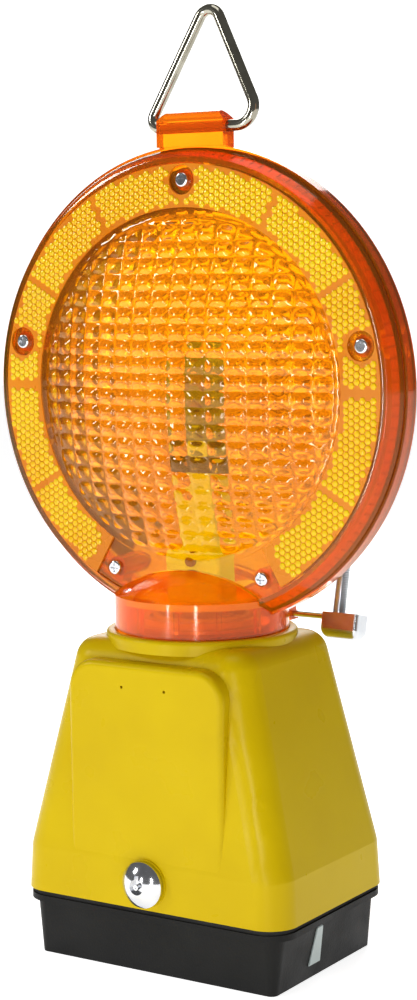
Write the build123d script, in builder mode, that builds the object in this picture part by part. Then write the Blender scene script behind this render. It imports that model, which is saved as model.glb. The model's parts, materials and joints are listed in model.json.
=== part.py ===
"""Barricade warning light: a battery housing with a turning two-sided amber lamp head.

Millimetres, +Z up, front of the lamp towards -Y.
The origin is the centre of the base tray's underside, which is what the lamp stands on.
"""
import os
from math import atan2, cos, degrees, radians, sin

from build123d import *

os.makedirs("parts", exist_ok=True)

# ---- driving dimensions -------------------------------------------------------------

# base tray
foot_width, foot_depth = 111.0, 76.0
tray_top_width, tray_top_depth = 116.0, 79.0
tray_corner = 3.0
tray_wall = 2.5
flange_width, flange_depth = 123.0, 86.0
flange_corner = 12.0
flange_bottom, flange_top = 22.5, 25.0
gasket_thickness = 2.0

# housing
housing_bottom = flange_top + gasket_thickness
skirt_width, skirt_depth = 124.0, 87.0
knee_width, knee_depth = 122.0, 86.0
knee_height = 45.0
roof_width, roof_depth = 81.0, 70.6
roof_top, roof_thickness = 130.5, 3.0
housing_wall = 2.5
housing_corner = 12.0
shoulder_radius = 9.5
panel_width, panel_top, panel_corner = 72.0, 124.0, 12.0
panel_front = knee_depth / 2 - 0.15
panel_hollow, panel_edge = 20.0, 2.5
lip_edge = 1.6
lip_outer, lip_inner, lip_top = 38.5, 35.35, 133.0
spigot_outer, spigot_inner, spigot_top = 24.0, 21.0, 138.0

# lock on the front of the skirt
lock_height = 37.5
lock_head_radius, lock_head_dome = 9.15, 5.2
lock_shank_radius = 4.0
cam_length, cam_width, cam_thickness = 12.0, 8.0, 2.0
cam_back = -37.5
pad_radius, pad_front = 9.8, -43.6
washer_radius, washer_thickness = 8.6, 0.8
hook_x, hook_width, hook_thickness = 11.5, 10.0, 2.3
hook_plate_y, hook_top, hook_reach = -35.35, 44.5, 6.0

# block battery
battery_side, battery_height = 67.0, 100.0
battery_bottom = 4.5
battery_top_height = 3.0
terminal_offset = 17.0
terminal_height = 13.0

# contact carrier under the roof
carrier_width, carrier_depth, carrier_thickness = 66.0, 52.0, 2.5
carrier_bottom = battery_bottom + battery_height + battery_top_height + terminal_height + 1.0
pin_spacing = 11.0

# lamp head
head_centre = 229.2
ring_outer, ring_inner, ring_half = 95.0, 88.0, 3.5
plate_radius, plate_front, plate_thickness = 90.4, 10.9, 2.4
rim_radius = 93.8
seal_thickness = 0.6
rim_back = ring_half + seal_thickness
dome_radius, dome_bulge = 68.0, 14.0
reflector_inner, reflector_outer, reflector_depth = 70.5, 87.6, 1.0
screw_circle = 81.2
screw_angles = (90.0, 167.5, 12.5, 244.65, 295.35)
boss_radius, screw_recess_radius = 4.6, 4.0
screw_radius, screw_head_radius, screw_head_thickness = 1.5, 2.9, 1.6
neck_radius, neck_inner = 35.0, 32.0
neck_bottom, collar_top, shoulder_rise = 131.3, 147.0, 10.3
neck_floor = 133.8
running_clearance = 0.08

# hanger
tab_half, tab_front, tab_back, tab_top = 15.5, -5.0, 3.0, 337.0
wire_diameter = 4.5
tab_foot = 323.4
tab_round = (tab_back - tab_front) / 2
hanger_pivot_y, hanger_pivot_z = -1.0, 331.0
hanger_corners = [(-22.3, 0.0), (31.2, 0.0), (3.3, 51.9)]
hanger_radii = [4.0, 7.0, 5.0]
hanger_lean = 8.0

# rear clamp
axle_radius, axle_y, axle_z = 1.35, 41.6, 133.5
axle_left = -21.0
lug_half = 18.0
block_left, block_right, block_depth = 33.7, 50.7, 10.0
block_rise, block_drop = 1.8, 9.0
stud_x, stud_radius, stud_core_radius = 39.3, 3.0, 2.6
stud_seat, stud_shoulder, stud_tip = -6.0, 2.3, 52.0
stud_lean = 13.0

# lamp post inside the head
post_base_bottom, post_base_top = 144.0, 146.4
post_block_top, post_top = 164.0, 206.0
board_bottom, board_top, board_width = 203.0, 243.0, 16.0
board_thickness = 1.6
clip_bottom, clip_height = 196.0, 7.0
sensor_height, sensor_radius, sensor_thickness = 160.4, 2.5, 1.5
block_front = 6.5


def at_depth(depth):
    """Plane facing the front of the lamp, at y = depth, centred on the head's axis."""
    return Plane(origin=(0, depth, head_centre), x_dir=(1, 0, 0), z_dir=(0, -1, 0))


def screw_points():
    """Screw centres round the head, seen from the front, as (x, z - head_centre)."""
    return [(screw_circle * cos(radians(a)), screw_circle * sin(radians(a))) for a in screw_angles]


def trapezoid(bottom, top, low, high):
    """Corners of a symmetric trapezoid, low wide at the bottom and high wide at the top."""
    return (-low / 2, bottom), (low / 2, bottom), (high / 2, top), (-high / 2, top)


def tapered_block(low, high):
    """Block with four sloping sides between two sections, each a (height, width, depth)."""
    (bottom, bottom_width, bottom_depth), (top, top_width, top_depth) = low, high
    with BuildPart() as block:
        with BuildSketch(Plane.XZ):
            Polygon(*trapezoid(bottom, top, bottom_width, top_width), align=None)
        extrude(amount=bottom_depth, both=True)
        with BuildSketch(Plane.YZ):
            Polygon(*trapezoid(bottom, top, bottom_depth, top_depth), align=None)
        extrude(amount=bottom_width, both=True, mode=Mode.INTERSECT)
    return block.part


def tapered_stack(sections, corner):
    """Tapered blocks standing on each other, with rounded upright corners."""
    blocks = [tapered_block(low, high) for low, high in zip(sections, sections[1:])]
    with BuildPart() as stack:
        add(blocks)
        uprights = stack.edges().filter_by(lambda edge: abs(edge.tangent_at(0.5).Z) > 0.5)
        fillet(uprights, radius=corner)
    return stack.part


# ---- base tray ----------------------------------------------------------------------

wall_slope = (tray_top_width - foot_width) / 2 / flange_bottom
side_wall = Plane(
    origin=(foot_width / 2, 0, 0),
    x_dir=(0, 1, 0),
    z_dir=Vector(1, 0, -wall_slope),
)
catch_outline = [(-13.5, 5.5), (-5.0, 5.5), (-5.0, 20.5), (-9.0, 20.5)]
catch_pocket = 1.2

with BuildPart() as base_tray:
    with BuildSketch(Plane.XY):
        RectangleRounded(foot_width, foot_depth, tray_corner)
    with BuildSketch(Plane.XY.offset(flange_bottom)):
        RectangleRounded(tray_top_width, tray_top_depth, 2 * tray_corner)
    loft()
    with BuildSketch(Plane.XY.offset(flange_bottom)):
        RectangleRounded(flange_width, flange_depth, flange_corner)
    extrude(amount=flange_top - flange_bottom)
    with BuildSketch(Plane.XY.offset(tray_wall)):
        RectangleRounded(foot_width - 2 * tray_wall, foot_depth - 2 * tray_wall, tray_corner)
    with BuildSketch(Plane.XY.offset(flange_top)):
        RectangleRounded(tray_top_width - 2 * tray_wall, tray_top_depth - 2 * tray_wall, tray_corner)
    loft(mode=Mode.SUBTRACT)
    # upstand with a hook that the lock's cam turns under
    with BuildSketch(Plane.XY.offset(tray_wall / 2)):
        with Locations((hook_x, hook_plate_y)):
            Rectangle(hook_width, hook_thickness)
    extrude(amount=hook_top - tray_wall / 2)
    with BuildSketch(Plane.XY.offset(hook_top - hook_thickness)):
        with Locations((hook_x, hook_plate_y + hook_thickness / 2 - hook_reach / 2)):
            Rectangle(hook_width, hook_reach)
    extrude(amount=hook_thickness)
    # corner guides that locate the battery
    with BuildSketch(Plane.XY.offset(tray_wall / 2)):
        with GridLocations(battery_side + 3.4, battery_side - 14, 2, 2):
            Rectangle(2.4, 10)
    extrude(amount=14)
    # floor ribs either side of the battery
    with BuildSketch(Plane.XY.offset(tray_wall / 2)):
        with GridLocations(battery_side + 22, 0, 2, 1):
            Rectangle(1.6, foot_depth - 8)
    extrude(amount=4)
    # pocket for the side catch
    with BuildSketch(side_wall):
        Polygon(*catch_outline, align=None)
    extrude(amount=-catch_pocket, mode=Mode.SUBTRACT)
    # blind foot recesses
    with BuildSketch(Plane.XY):
        with GridLocations(foot_width - 22, foot_depth - 22, 2, 2):
            Circle(5)
    extrude(amount=0.8, mode=Mode.SUBTRACT)
base_tray.part.label = "base_tray"
export_step(base_tray.part, "parts/base_tray.step")

with BuildPart() as side_catch:
    with BuildSketch(side_wall.offset(-catch_pocket)):
        Polygon(*catch_outline, align=None)
    extrude(amount=catch_pocket + 0.5)
    chamfer(side_catch.faces().sort_by(Axis.X)[-1].edges(), length=0.45)
side_catch.part.label = "side_catch"
export_step(side_catch.part, "parts/side_catch.step")

with BuildPart() as tray_gasket:
    with BuildSketch(Plane.XY.offset(flange_top)):
        RectangleRounded(flange_width - 1.4, flange_depth - 1.4, flange_corner - 1)
        RectangleRounded(flange_width - 9, flange_depth - 6.2, 8, mode=Mode.SUBTRACT)
    extrude(amount=gasket_thickness)
tray_gasket.part.label = "tray_gasket"
export_step(tray_gasket.part, "parts/tray_gasket.step")

# ---- housing ------------------------------------------------------------------------

outside = tapered_stack(
    [
        (housing_bottom, skirt_width, skirt_depth),
        (knee_height, knee_width, knee_depth),
        (roof_top, roof_width, roof_depth),
    ],
    housing_corner,
)
roof_underside = roof_top - roof_thickness
hollow = tapered_stack(
    [
        (housing_bottom, skirt_width - 2 * housing_wall, skirt_depth - 2 * housing_wall),
        (knee_height, knee_width - 2 * housing_wall, knee_depth - 2 * housing_wall),
        (roof_underside, roof_width - 3.6, roof_depth - 3.6),
    ],
    housing_corner - housing_wall,
)
with BuildPart() as front_panel:
    with BuildSketch(Plane.XZ.offset(panel_front)) as panel:
        with Locations((0, (knee_height - 1 + panel_top) / 2)):
            Rectangle(panel_width, panel_top - knee_height + 1)
        fillet(panel.vertices().group_by(Axis.Y)[-1], radius=panel_corner)
    extrude(amount=-14)
    front_edges = front_panel.faces().sort_by(Axis.Y)[0].edges()
    fillet(front_edges.filter_by(lambda edge: edge.center().Z > knee_height), radius=panel_edge)
seal_groove_outer, seal_groove_inner, seal_groove_depth = 31.0, 28.0, 1.2
ring_groove_bottom, ring_groove_height, ring_groove_depth = 134.2, 1.4, 0.8
pinhole_x, pinhole_z, pinhole_radius = 10.0, 114.5, 0.6

with BuildPart() as housing:
    add(outside)
    fillet(housing.faces().sort_by(Axis.Z)[-1].edges(), radius=shoulder_radius)
    add(front_panel)
    # lip round the neck, and the spigot that the neck turns on
    with BuildSketch(Plane.XY.offset(roof_underside)):
        Circle(lip_outer)
    extrude(amount=lip_top - roof_underside)
    fillet(housing.faces().sort_by(Axis.Z)[-1].edges(), radius=lip_edge)
    with BuildSketch(Plane.XY.offset(roof_top)):
        Circle(lip_inner)
    extrude(amount=lip_top - roof_top, mode=Mode.SUBTRACT)
    with BuildSketch(Plane.XY.offset(roof_underside)):
        Circle(spigot_outer)
    extrude(amount=spigot_top - roof_underside)
    # hollow
    add(hollow, mode=Mode.SUBTRACT)
    with BuildSketch(Plane.XZ.offset(panel_front - housing_wall)) as panel_inside:
        with Locations((0, (housing_bottom + panel_top - housing_wall) / 2)):
            Rectangle(panel_width - 2 * housing_wall, panel_top - housing_wall - housing_bottom)
        fillet(panel_inside.vertices().group_by(Axis.Y)[-1], radius=panel_corner - housing_wall)
    extrude(amount=-panel_hollow, mode=Mode.SUBTRACT)
    with BuildSketch(Plane.XY.offset(housing_bottom)):
        Circle(spigot_inner)
    extrude(amount=spigot_top, mode=Mode.SUBTRACT)
    # seal groove and retaining ring groove
    with BuildSketch(Plane.XY.offset(roof_top - seal_groove_depth)):
        Circle(seal_groove_outer)
        Circle(seal_groove_inner, mode=Mode.SUBTRACT)
    extrude(amount=seal_groove_depth, mode=Mode.SUBTRACT)
    with BuildSketch(Plane.XY.offset(ring_groove_bottom)):
        Circle(spigot_outer + 1)
        Circle(spigot_outer - ring_groove_depth, mode=Mode.SUBTRACT)
    extrude(amount=ring_groove_height, mode=Mode.SUBTRACT)
    # flat pad for the lock, its bore, and two pinholes near the top of the panel
    with BuildSketch(Plane.XZ.offset(panel_front - housing_wall)):
        with Locations((0, lock_height)):
            Circle(pad_radius)
    extrude(amount=-pad_front - panel_front + housing_wall)
    with BuildSketch(Plane.XZ):
        with Locations((0, lock_height)):
            Circle(lock_shank_radius + running_clearance)
        with Locations((-pinhole_x, pinhole_z), (pinhole_x, pinhole_z)):
            Circle(pinhole_radius)
    extrude(amount=60, mode=Mode.SUBTRACT)
housing.part.label = "housing"
export_step(housing.part, "parts/housing.step")

# ---- lock ---------------------------------------------------------------------------

washer_front = pad_front - washer_thickness


def lock_plane(depth):
    """Plane facing the front, on the lock's axis, at y = depth."""
    return Plane(origin=(0, depth, lock_height), x_dir=(1, 0, 0), z_dir=(0, -1, 0))


with BuildPart() as lock_washer:
    with BuildSketch(lock_plane(pad_front)):
        Circle(washer_radius)
        Circle(lock_shank_radius + 0.3, mode=Mode.SUBTRACT)
    extrude(amount=washer_thickness)
lock_washer.part.label = "lock_washer"
export_step(lock_washer.part, "parts/lock_washer.step")

head_edge = 1.2
dome_rise = lock_head_dome - head_edge
dome_sphere = (lock_head_radius**2 + dome_rise**2) / (2 * dome_rise)

with BuildPart() as lock_bolt:
    with BuildSketch(lock_plane(washer_front)):
        Circle(lock_head_radius)
    extrude(amount=lock_head_dome)
    with Locations(lock_plane(washer_front - lock_head_dome + dome_sphere)):
        Sphere(dome_sphere, mode=Mode.INTERSECT)
    # ring recess with a centre pin, for the special key
    with BuildSketch(lock_plane(washer_front - 2.6)):
        Circle(3.1)
        Circle(1.1, mode=Mode.SUBTRACT)
    extrude(amount=lock_head_dome, mode=Mode.SUBTRACT)
    with BuildSketch(lock_plane(washer_front - 2.6)):
        with Locations((0, 3.4)):
            Rectangle(1.8, 2.2)
    extrude(amount=lock_head_dome, mode=Mode.SUBTRACT)
    with BuildSketch(lock_plane(cam_back - cam_thickness)):
        Circle(lock_shank_radius)
    extrude(amount=-washer_front + cam_back - cam_thickness)
    with BuildSketch(lock_plane(cam_back)):
        Rectangle(5, 5)
    extrude(amount=cam_thickness)
    with BuildSketch(lock_plane(cam_back + 3.2)):
        Circle(2.5)
    extrude(amount=3.2)
lock_bolt.part.label = "lock_bolt"
export_step(lock_bolt.part, "parts/lock_bolt.step")

with BuildPart() as lock_cam:
    with BuildSketch(lock_plane(cam_back)):
        Circle(cam_width / 2)
        with Locations(((cam_length - cam_width / 2) / 2, 0)):
            Rectangle(cam_length - cam_width / 2, cam_width)
        with Locations((cam_length - cam_width / 2, 0)):
            Circle(cam_width / 2)
        Rectangle(5, 5, mode=Mode.SUBTRACT)
    extrude(amount=cam_thickness)
lock_cam.part.label = "lock_cam"
export_step(lock_cam.part, "parts/lock_cam.step")

with BuildPart() as lock_nut:
    with BuildSketch(lock_plane(cam_back + 2.4)):
        RegularPolygon(4.4, 6)
        Circle(2.5, mode=Mode.SUBTRACT)
    extrude(amount=2.4)
lock_nut.part.label = "lock_nut"
export_step(lock_nut.part, "parts/lock_nut.step")

# ---- battery ------------------------------------------------------------------------

cap_bottom = battery_bottom + battery_height
cap_top = cap_bottom + battery_top_height

with BuildPart() as battery_pad:
    with BuildSketch(Plane.XY.offset(tray_wall)):
        RectangleRounded(battery_side - 6, battery_side - 6, 4)
    extrude(amount=battery_bottom - tray_wall)
battery_pad.part.label = "battery_pad"
export_step(battery_pad.part, "parts/battery_pad.step")

with BuildPart() as battery_case:
    with BuildSketch(Plane.XY.offset(battery_bottom)):
        RectangleRounded(battery_side, battery_side, 4)
    extrude(amount=battery_height)
    fillet(battery_case.faces().sort_by(Axis.Z)[0].edges(), radius=1)
battery_case.part.label = "battery_case"
export_step(battery_case.part, "parts/battery_case.step")

with BuildPart() as battery_cap:
    with BuildSketch(Plane.XY.offset(cap_bottom)):
        RectangleRounded(battery_side - 1, battery_side - 1, 4)
    extrude(amount=battery_top_height)
    with BuildSketch(Plane.XY.offset(cap_top - 1)):
        with Locations((-terminal_offset, 0), (terminal_offset, 0)):
            Circle(9.5)
    extrude(amount=1, mode=Mode.SUBTRACT)
battery_cap.part.label = "battery_cap"
export_step(battery_cap.part, "parts/battery_cap.step")

spring_radius, spring_wire = 6.5, 0.7
with BuildPart() as terminal_spring:
    with BuildLine():
        Helix(pitch=3.1, height=11.6, radius=spring_radius, center=(0, 0, cap_top + spring_wire - 1))
    with BuildSketch(Plane(origin=(spring_radius, 0, cap_top + spring_wire - 1), z_dir=(0, 1, 0.076))):
        Circle(spring_wire)
    sweep(is_frenet=True)
with BuildPart() as terminal_springs:
    with Locations((-terminal_offset, 0), (terminal_offset, 0)):
        add(terminal_spring)
terminal_springs.part.label = "terminal_springs"
export_step(terminal_springs.part, "parts/terminal_springs.step")

# ---- contact carrier under the roof -------------------------------------------------

carrier_top = carrier_bottom + carrier_thickness
tower_top = spigot_top + 1.0
pin_radius, pin_top = 1.4, 141.0
strip_thickness = 0.6
switch_y, switch_length, switch_width, switch_height = -18.0, 22.0, 9.0, 6.0
slider_travel = 8.0

with BuildPart() as contact_carrier:
    with BuildSketch(Plane.XY.offset(carrier_bottom)):
        RectangleRounded(carrier_width, carrier_depth, 5)
    extrude(amount=carrier_thickness)
    with BuildSketch(Plane.XY.offset(carrier_top)):
        with GridLocations(56, 42, 2, 2):
            Circle(3)
    extrude(amount=roof_underside - carrier_top)
    with BuildSketch(Plane.XY.offset(carrier_top)):
        Circle(spigot_inner - 1.5)
        Circle(spigot_inner - 3.5, mode=Mode.SUBTRACT)
        Rectangle(34, 3)
        with Locations((0, 0), (pin_spacing, 0)):
            Circle(3.4)
    extrude(amount=tower_top - carrier_top)
    with BuildSketch(Plane.XY.offset(carrier_bottom)):
        with Locations((0, 0), (pin_spacing, 0)):
            Circle(pin_radius)
    extrude(amount=tower_top - carrier_bottom, mode=Mode.SUBTRACT)
contact_carrier.part.label = "contact_carrier"
export_step(contact_carrier.part, "parts/contact_carrier.step")

with BuildPart() as contact_pins:
    with BuildSketch(Plane.XY.offset(carrier_bottom)):
        with Locations((0, 0), (pin_spacing, 0)):
            Circle(pin_radius)
    extrude(amount=pin_top - carrier_bottom)
    fillet(contact_pins.faces().group_by(Axis.Z)[-1].edges(), radius=1.1)
contact_pins.part.label = "contact_pins"
export_step(contact_pins.part, "parts/contact_pins.step")

strips = {"negative_strip": (-30.0, 3.0), "positive_strip": (8.0, 30.0)}
for name, (left, right) in strips.items():
    with BuildPart() as strip:
        with BuildSketch(Plane.XY.offset(carrier_bottom - strip_thickness)):
            with Locations(((left + right) / 2, 0)):
                RectangleRounded(right - left, 14, 2.5)
            with Locations((left + 3 if left < 0 else right - 3, 0)):
                Circle(1.3, mode=Mode.SUBTRACT)
        extrude(amount=strip_thickness)
    strip.part.label = name
    export_step(strip.part, f"parts/{name}.step")

with BuildPart() as strip_screws:
    with BuildSketch(Plane.XY.offset(carrier_bottom - strip_thickness - 1.4)):
        with Locations((-27, 0), (27, 0)):
            Circle(2.3)
    extrude(amount=1.4)
    fillet(strip_screws.faces().group_by(Axis.Z)[0].edges(), radius=0.7)
    with BuildSketch(Plane.XY.offset(carrier_bottom - strip_thickness)):
        with Locations((-27, 0), (27, 0)):
            Circle(1.2)
    extrude(amount=strip_thickness)
strip_screws.part.label = "strip_screws"
export_step(strip_screws.part, "parts/strip_screws.step")

with BuildPart() as mode_switch:
    with BuildSketch(Plane.XY.offset(carrier_bottom - switch_height)):
        with Locations((0, switch_y)):
            RectangleRounded(switch_length, switch_width, 1)
    extrude(amount=switch_height)
    with BuildSketch(Plane.XY.offset(carrier_bottom - switch_height)):
        with Locations((0, switch_y)):
            Rectangle(slider_travel + 5, 5)
    extrude(amount=4, mode=Mode.SUBTRACT)
mode_switch.part.label = "mode_switch"
export_step(mode_switch.part, "parts/mode_switch.step")

with BuildPart() as switch_slider:
    with BuildSketch(Plane.XY.offset(carrier_bottom - switch_height - 3)):
        with Locations((-slider_travel / 2, switch_y)):
            Rectangle(4.2, 4.2)
    extrude(amount=6.4)
    chamfer(switch_slider.faces().sort_by(Axis.Z)[0].edges(), length=0.6)
switch_slider.part.label = "switch_slider"
export_step(switch_slider.part, "parts/switch_slider.step")

# ---- neck seal and retaining ring ---------------------------------------------------

with BuildPart() as neck_seal:
    with BuildSketch(Plane.XY.offset(roof_top - seal_groove_depth)):
        Circle(seal_groove_outer - 0.1)
        Circle(seal_groove_inner + 0.1, mode=Mode.SUBTRACT)
    extrude(amount=seal_groove_depth + 0.6)
    fillet(neck_seal.faces().sort_by(Axis.Z)[-1].edges(), radius=0.6)
neck_seal.part.label = "neck_seal"
export_step(neck_seal.part, "parts/neck_seal.step")

with BuildPart() as retaining_ring:
    with BuildSketch(Plane.XY.offset(ring_groove_bottom + 0.1)):
        Circle(spigot_outer + 3.5)
        Circle(spigot_outer - ring_groove_depth, mode=Mode.SUBTRACT)
        with Locations((-spigot_outer - 1, 0)):
            Rectangle(10, 9, mode=Mode.SUBTRACT)
    extrude(amount=ring_groove_height - 0.2)
retaining_ring.part.label = "retaining_ring"
export_step(retaining_ring.part, "parts/retaining_ring.step")

# ---- lamp head ----------------------------------------------------------------------

head_axis = Axis((0, 0, head_centre), (0, 1, 0))


def cap_points(radius, foot, top):
    """Start, middle and end of an arc in (radius, height): a spherical cap's outline."""
    rise = top - foot
    sphere = (radius**2 + rise**2) / (2 * rise)
    half = degrees(atan2(radius, sphere - rise)) / 2
    middle = (sphere * sin(radians(half)), top - sphere + sphere * cos(radians(half)))
    return (radius, foot), middle, (0, top)


def flip(point):
    """(radius, distance from the middle plane) as a point of a section in front of it."""
    return (point[0], -point[1])


def neck_solid(radius, floor, top, rise):
    """Round column on the Z axis with a spherical cap."""
    start, middle, end = cap_points(radius, top, top + rise)
    with BuildPart() as column:
        with BuildSketch(Plane.XZ):
            with BuildLine():
                Polyline(end, (0, floor), (radius, floor), start)
                ThreePointArc(start, middle, end)
            make_face()
        revolve(axis=Axis.Z)
    return column.part


neck_outside = neck_solid(neck_radius, neck_bottom, collar_top, shoulder_rise)
neck_inside = neck_solid(neck_inner, neck_floor, collar_top, shoulder_rise - 2.4)
neck_clearance = neck_solid(neck_radius + 0.3, neck_bottom - 2, collar_top, shoulder_rise + 0.3)

with BuildPart() as head_body:
    # middle ring of the drum
    with BuildSketch(at_depth(-ring_half)):
        Circle(ring_outer)
        Circle(ring_inner, mode=Mode.SUBTRACT)
    extrude(amount=-2 * ring_half)
    # screw bosses and their webs
    inner_face = plate_front - plate_thickness
    with BuildSketch(at_depth(-inner_face)):
        with Locations(*screw_points()):
            Circle(boss_radius - 0.4)
    extrude(amount=-2 * inner_face)
    with BuildSketch(at_depth(-ring_half)):
        for angle in screw_angles:
            with Locations(Rot(0, 0, angle) * Pos(screw_circle + 4.5, 0)):
                Rectangle(9, 3)
    extrude(amount=-2 * ring_half)
    # neck and shoulder, open into the drum
    add(neck_inside, mode=Mode.SUBTRACT)
    add(neck_outside - neck_inside)
    with BuildSketch(Plane.XY.offset(collar_top)):
        Rectangle(50, 15)
    extrude(amount=shoulder_rise + 2, mode=Mode.SUBTRACT)
    with BuildSketch(Plane.XY.offset(neck_bottom)):
        Circle(spigot_outer + running_clearance)
    extrude(amount=neck_floor - neck_bottom, mode=Mode.SUBTRACT)
    with BuildSketch(Plane.XY.offset(neck_floor)):
        with PolarLocations(neck_inner - 0.6, 12, start_angle=15):
            Rectangle(2.4, 1.8)
    extrude(amount=post_base_bottom - neck_floor)
    # tab for the hanger, with a narrow root between the lens rims
    with BuildSketch(Plane.YZ.offset(-tab_half)):
        with Locations((0, head_centre + ring_outer - 3)):
            Rectangle(2 * tab_back, 7)
        with Locations((tab_front + tab_round, (tab_foot + tab_top - tab_round) / 2)):
            Rectangle(2 * tab_round, tab_top - tab_round - tab_foot)
        with Locations((tab_front + tab_round, tab_top - tab_round)):
            Circle(tab_round)
    extrude(amount=2 * tab_half)
    with BuildSketch(Plane.XZ.offset(20)):
        for side in (-1, 1):
            with Locations((side * tab_half, tab_top)):
                Rectangle(4.5, 4.5, rotation=45)
    extrude(amount=-40, mode=Mode.SUBTRACT)
    # lug behind the neck, stepping over the housing's lip
    with BuildSketch(Plane.XY.offset(lip_top + 0.4)):
        with Locations((0, 39.5)):
            RectangleRounded(2 * lug_half, 12, 2)
        Circle(neck_radius - 1.5, mode=Mode.SUBTRACT)
    extrude(amount=4.8)
    with BuildSketch(Plane.XY.offset(roof_top + 0.5)):
        with Locations((0, 42.2)):
            Rectangle(2 * lug_half, 6.6)
    extrude(amount=3.5)
    # bores
    with BuildSketch(Plane.YZ.offset(-40)):
        with Locations((axle_y, axle_z)):
            Circle(axle_radius + running_clearance)
        with Locations((hanger_pivot_y, hanger_pivot_z)):
            Circle(wire_diameter / 2 + running_clearance)
    extrude(amount=80, mode=Mode.SUBTRACT)
    with BuildSketch(at_depth(-20)):
        with Locations(*screw_points()):
            Circle(screw_radius + 0.05)
    extrude(amount=-40, mode=Mode.SUBTRACT)
head_body.part.label = "head_body"
export_step(head_body.part, "parts/head_body.step")

lens_rim = (rim_radius, rim_back)
lens_edge = (plate_radius, plate_front)
bead_seat = plate_front - 0.7


def lens_solid():
    """Lens disc facing -Y: dome, flat plate with a groove for the bead ring, tapered rim."""
    outer_foot, outer_middle, outer_top = cap_points(dome_radius, plate_front, plate_front + dome_bulge)
    inner_foot, inner_middle, inner_top = cap_points(
        dome_radius - 1, plate_front - plate_thickness, plate_front + dome_bulge - plate_thickness
    )
    with BuildPart() as lens:
        with BuildSketch(Plane.XY.offset(head_centre)):
            with BuildLine():
                ThreePointArc(flip(outer_top), flip(outer_middle), flip(outer_foot))
                Polyline(
                    flip(outer_foot),
                    flip((reflector_inner, plate_front)),
                    flip((reflector_inner, bead_seat)),
                    flip((reflector_outer, bead_seat)),
                    flip((reflector_outer, plate_front)),
                    flip(lens_edge),
                    flip(lens_rim),
                    flip((lens_rim[0] - plate_thickness, rim_back)),
                    flip((lens_edge[0] - plate_thickness, plate_front - plate_thickness)),
                    flip(inner_foot),
                )
                ThreePointArc(flip(inner_foot), flip(inner_middle), flip(inner_top))
                Line(flip(inner_top), flip(outer_top))
            make_face()
        revolve(axis=head_axis)
        # seats for the screw heads
        with BuildSketch(at_depth(-plate_front)):
            with Locations(*screw_points()):
                Circle(screw_recess_radius)
        extrude(amount=-0.9, mode=Mode.SUBTRACT)
        with BuildSketch(at_depth(-plate_front)):
            with Locations(*screw_points()):
                Circle(screw_radius + 0.3)
        extrude(amount=-plate_thickness, mode=Mode.SUBTRACT)
        # arch over the shoulder of the neck
        add(neck_clearance, mode=Mode.SUBTRACT)
    return lens.part


def bead_ring_solid():
    """Flat ring for the bead pattern, open round the screws and over the neck."""
    with BuildPart() as ring:
        with BuildSketch(at_depth(-bead_seat)):
            Circle(reflector_outer - 0.1)
            Circle(reflector_inner + 0.1, mode=Mode.SUBTRACT)
            with Locations(*screw_points()):
                Circle(boss_radius + 1.2, mode=Mode.SUBTRACT)
            with BuildLine():
                Polyline((0, 0), (-60, -104), (60, -104), close=True)
            make_face(mode=Mode.SUBTRACT)
        extrude(amount=reflector_depth)
    return ring.part


def seal_solid():
    """Flat seal between the lens rim and the drum's middle ring."""
    with BuildPart() as seal:
        with BuildSketch(at_depth(-ring_half)):
            Circle(rim_radius - 0.3)
            Circle(ring_inner + 3.4, mode=Mode.SUBTRACT)
        extrude(amount=seal_thickness)
        add(neck_clearance, mode=Mode.SUBTRACT)
    return seal.part


def screw_set():
    """Cross-head screws of one lens."""
    seat = plate_front - 0.9
    with BuildPart() as screws:
        with BuildSketch(at_depth(-seat)):
            with Locations(*screw_points()):
                Circle(screw_head_radius)
        extrude(amount=screw_head_thickness)
        fillet(screws.faces().group_by(Axis.Y)[0].edges(), radius=0.8)
        with BuildSketch(at_depth(-seat)):
            with Locations(*screw_points()):
                Circle(screw_radius)
        extrude(amount=-7)
        with BuildSketch(at_depth(-seat - 0.6)):
            with Locations(*screw_points()):
                Rectangle(3.6, 0.8)
                Rectangle(0.8, 3.6)
        extrude(amount=2, mode=Mode.SUBTRACT)
    return screws.part


sides = {
    "lens": lens_solid(),
    "bead_ring": bead_ring_solid(),
    "lens_seal": seal_solid(),
    "lens_screws": screw_set(),
}
for name, front_solid in sides.items():
    with BuildPart() as front_piece:
        add(front_solid)
    front_piece.part.label = f"front_{name}"
    export_step(front_piece.part, f"parts/front_{name}.step")
    with BuildPart() as rear_piece:
        add(front_solid)
        mirror(about=Plane.XZ, mode=Mode.REPLACE)
    rear_piece.part.label = f"rear_{name}"
    export_step(rear_piece.part, f"parts/rear_{name}.step")

# ---- lamp post, board and contact disc inside the head ------------------------------

with BuildPart() as lamp_post:
    with BuildSketch(Plane.XY.offset(post_base_bottom)):
        Circle(neck_inner - 0.4)
        with PolarLocations(24, 6):
            Circle(3.4, mode=Mode.SUBTRACT)
    extrude(amount=post_base_top - post_base_bottom)
    with BuildSketch(Plane.XY.offset(post_base_top)):
        RectangleRounded(26, 2 * block_front, 2)
    extrude(amount=post_block_top - post_base_top)
    fillet(lamp_post.faces().sort_by(Axis.Z)[-1].edges(), radius=1.5)
    with BuildSketch(Plane.XY.offset(post_block_top - 2)):
        RectangleRounded(17, 10, 2)
    with BuildSketch(Plane.XY.offset(post_top)):
        RectangleRounded(11, 7, 1.5)
    loft()
    with BuildSketch(Plane.XY.offset(board_bottom)):
        Rectangle(board_width + 4, board_thickness)
    extrude(amount=10, mode=Mode.SUBTRACT)
lamp_post.part.label = "lamp_post"
export_step(lamp_post.part, "parts/lamp_post.step")

with BuildPart() as lamp_board:
    with BuildSketch(Plane.XZ.offset(-board_thickness / 2)):
        with Locations((0, (board_bottom + board_top) / 2)):
            RectangleRounded(board_width, board_top - board_bottom, 1.5)
        with Locations((0, board_top - 3)):
            Circle(1.1, mode=Mode.SUBTRACT)
    extrude(amount=board_thickness)
lamp_board.part.label = "lamp_board"
export_step(lamp_board.part, "parts/lamp_board.step")

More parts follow.
